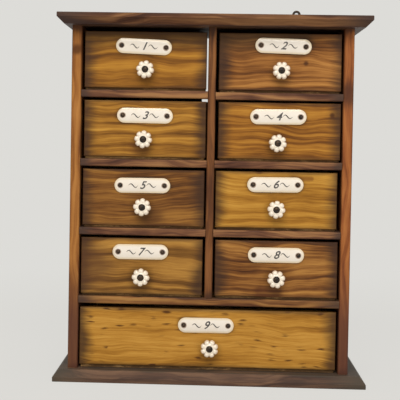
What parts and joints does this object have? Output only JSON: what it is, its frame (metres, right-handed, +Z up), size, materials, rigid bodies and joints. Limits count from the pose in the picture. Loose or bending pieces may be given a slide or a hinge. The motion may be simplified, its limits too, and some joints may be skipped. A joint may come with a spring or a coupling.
{
  "type": "wall spice rack",
  "caption": "Wooden wall cabinet with two columns of small drawers over one wide drawer, petal knobs and number plates.",
  "frame": {"origin": "centre of the base board's underside", "axes": "+Z up, +Y towards the wall; the drawers open along -Y, and +X is on the right of someone facing them"},
  "size_m": [0.339, 0.1397, 0.4232],
  "materials": {
    "top_wood": "satin",
    "base_wood": "satin",
    "side_wood": "satin",
    "divider_wood": "satin",
    "shelf_wood": "satin",
    "front_wood": "satin",
    "wide_front_wood": "satin",
    "inner_wood": "matte",
    "back_wood": "matte",
    "porcelain": "gloss",
    "plate_glaze": "gloss",
    "dark_iron": "satin"
  },
  "bodies": {
    "case": {"top_board": "top_wood", "base_board": "base_wood", "left_side": "side_wood", "right_side": "side_wood", "divider": "divider_wood", "long_shelf": "shelf_wood", "shelf_rails": "shelf_wood", "shelf_boards": "inner_wood", "back_board_left": "back_wood", "back_board_right": "back_wood", "hanger_screws": "dark_iron", "case_nails": "dark_iron"},
    "hanger_left": {"hanger_left": "dark_iron"},
    "hanger_right": {"hanger_right": "dark_iron"},
    "drawer_1": {"drawer_1_front": "front_wood", "drawer_1_box": "inner_wood", "drawer_1_knob": "porcelain", "drawer_1_plate": "plate_glaze", "drawer_1_pins": "dark_iron"},
    "drawer_2": {"drawer_2_front": "front_wood", "drawer_2_box": "inner_wood", "drawer_2_knob": "porcelain", "drawer_2_plate": "plate_glaze", "drawer_2_pins": "dark_iron"},
    "drawer_3": {"drawer_3_front": "front_wood", "drawer_3_box": "inner_wood", "drawer_3_knob": "porcelain", "drawer_3_plate": "plate_glaze", "drawer_3_pins": "dark_iron"},
    "drawer_4": {"drawer_4_front": "front_wood", "drawer_4_box": "inner_wood", "drawer_4_knob": "porcelain", "drawer_4_plate": "plate_glaze", "drawer_4_pins": "dark_iron"},
    "drawer_5": {"drawer_5_front": "front_wood", "drawer_5_box": "inner_wood", "drawer_5_knob": "porcelain", "drawer_5_plate": "plate_glaze", "drawer_5_pins": "dark_iron"},
    "drawer_6": {"drawer_6_front": "front_wood", "drawer_6_box": "inner_wood", "drawer_6_knob": "porcelain", "drawer_6_plate": "plate_glaze", "drawer_6_pins": "dark_iron"},
    "drawer_7": {"drawer_7_front": "front_wood", "drawer_7_box": "inner_wood", "drawer_7_knob": "porcelain", "drawer_7_plate": "plate_glaze", "drawer_7_pins": "dark_iron"},
    "drawer_8": {"drawer_8_front": "front_wood", "drawer_8_box": "inner_wood", "drawer_8_knob": "porcelain", "drawer_8_plate": "plate_glaze", "drawer_8_pins": "dark_iron"},
    "drawer_9": {"drawer_9_front": "wide_front_wood", "drawer_9_box": "inner_wood", "drawer_9_knob": "porcelain", "drawer_9_plate": "plate_glaze", "drawer_9_pins": "dark_iron"}
  },
  "joints": [
    {"name": "drawer_1_slide", "type": "slide", "parent": "case", "child": "drawer_1", "axis": [0, -1, 0], "range_m": [0, 0.085]},
    {"name": "drawer_2_slide", "type": "slide", "parent": "case", "child": "drawer_2", "axis": [0, -1, 0], "range_m": [0, 0.085]},
    {"name": "drawer_3_slide", "type": "slide", "parent": "case", "child": "drawer_3", "axis": [0, -1, 0], "range_m": [0, 0.085]},
    {"name": "drawer_4_slide", "type": "slide", "parent": "case", "child": "drawer_4", "axis": [0, -1, 0], "range_m": [0, 0.085]},
    {"name": "drawer_5_slide", "type": "slide", "parent": "case", "child": "drawer_5", "axis": [0, -1, 0], "range_m": [0, 0.085]},
    {"name": "drawer_6_slide", "type": "slide", "parent": "case", "child": "drawer_6", "axis": [0, -1, 0], "range_m": [0, 0.085]},
    {"name": "drawer_7_slide", "type": "slide", "parent": "case", "child": "drawer_7", "axis": [0, -1, 0], "range_m": [0, 0.085]},
    {"name": "drawer_8_slide", "type": "slide", "parent": "case", "child": "drawer_8", "axis": [0, -1, 0], "range_m": [0, 0.085]},
    {"name": "drawer_9_slide", "type": "slide", "parent": "case", "child": "drawer_9", "axis": [0, -1, 0], "range_m": [0, 0.085]},
    {"name": "hanger_left_swing", "type": "hinge", "parent": "case", "child": "hanger_left", "pos_m": [-0.1018, 0.0645, 0.3941], "axis": [0, 1, 0], "continuous": true},
    {"name": "hanger_right_swing", "type": "hinge", "parent": "case", "child": "hanger_right", "pos_m": [0.0988, 0.0645, 0.3941], "axis": [0, 1, 0], "continuous": true}
  ]
}
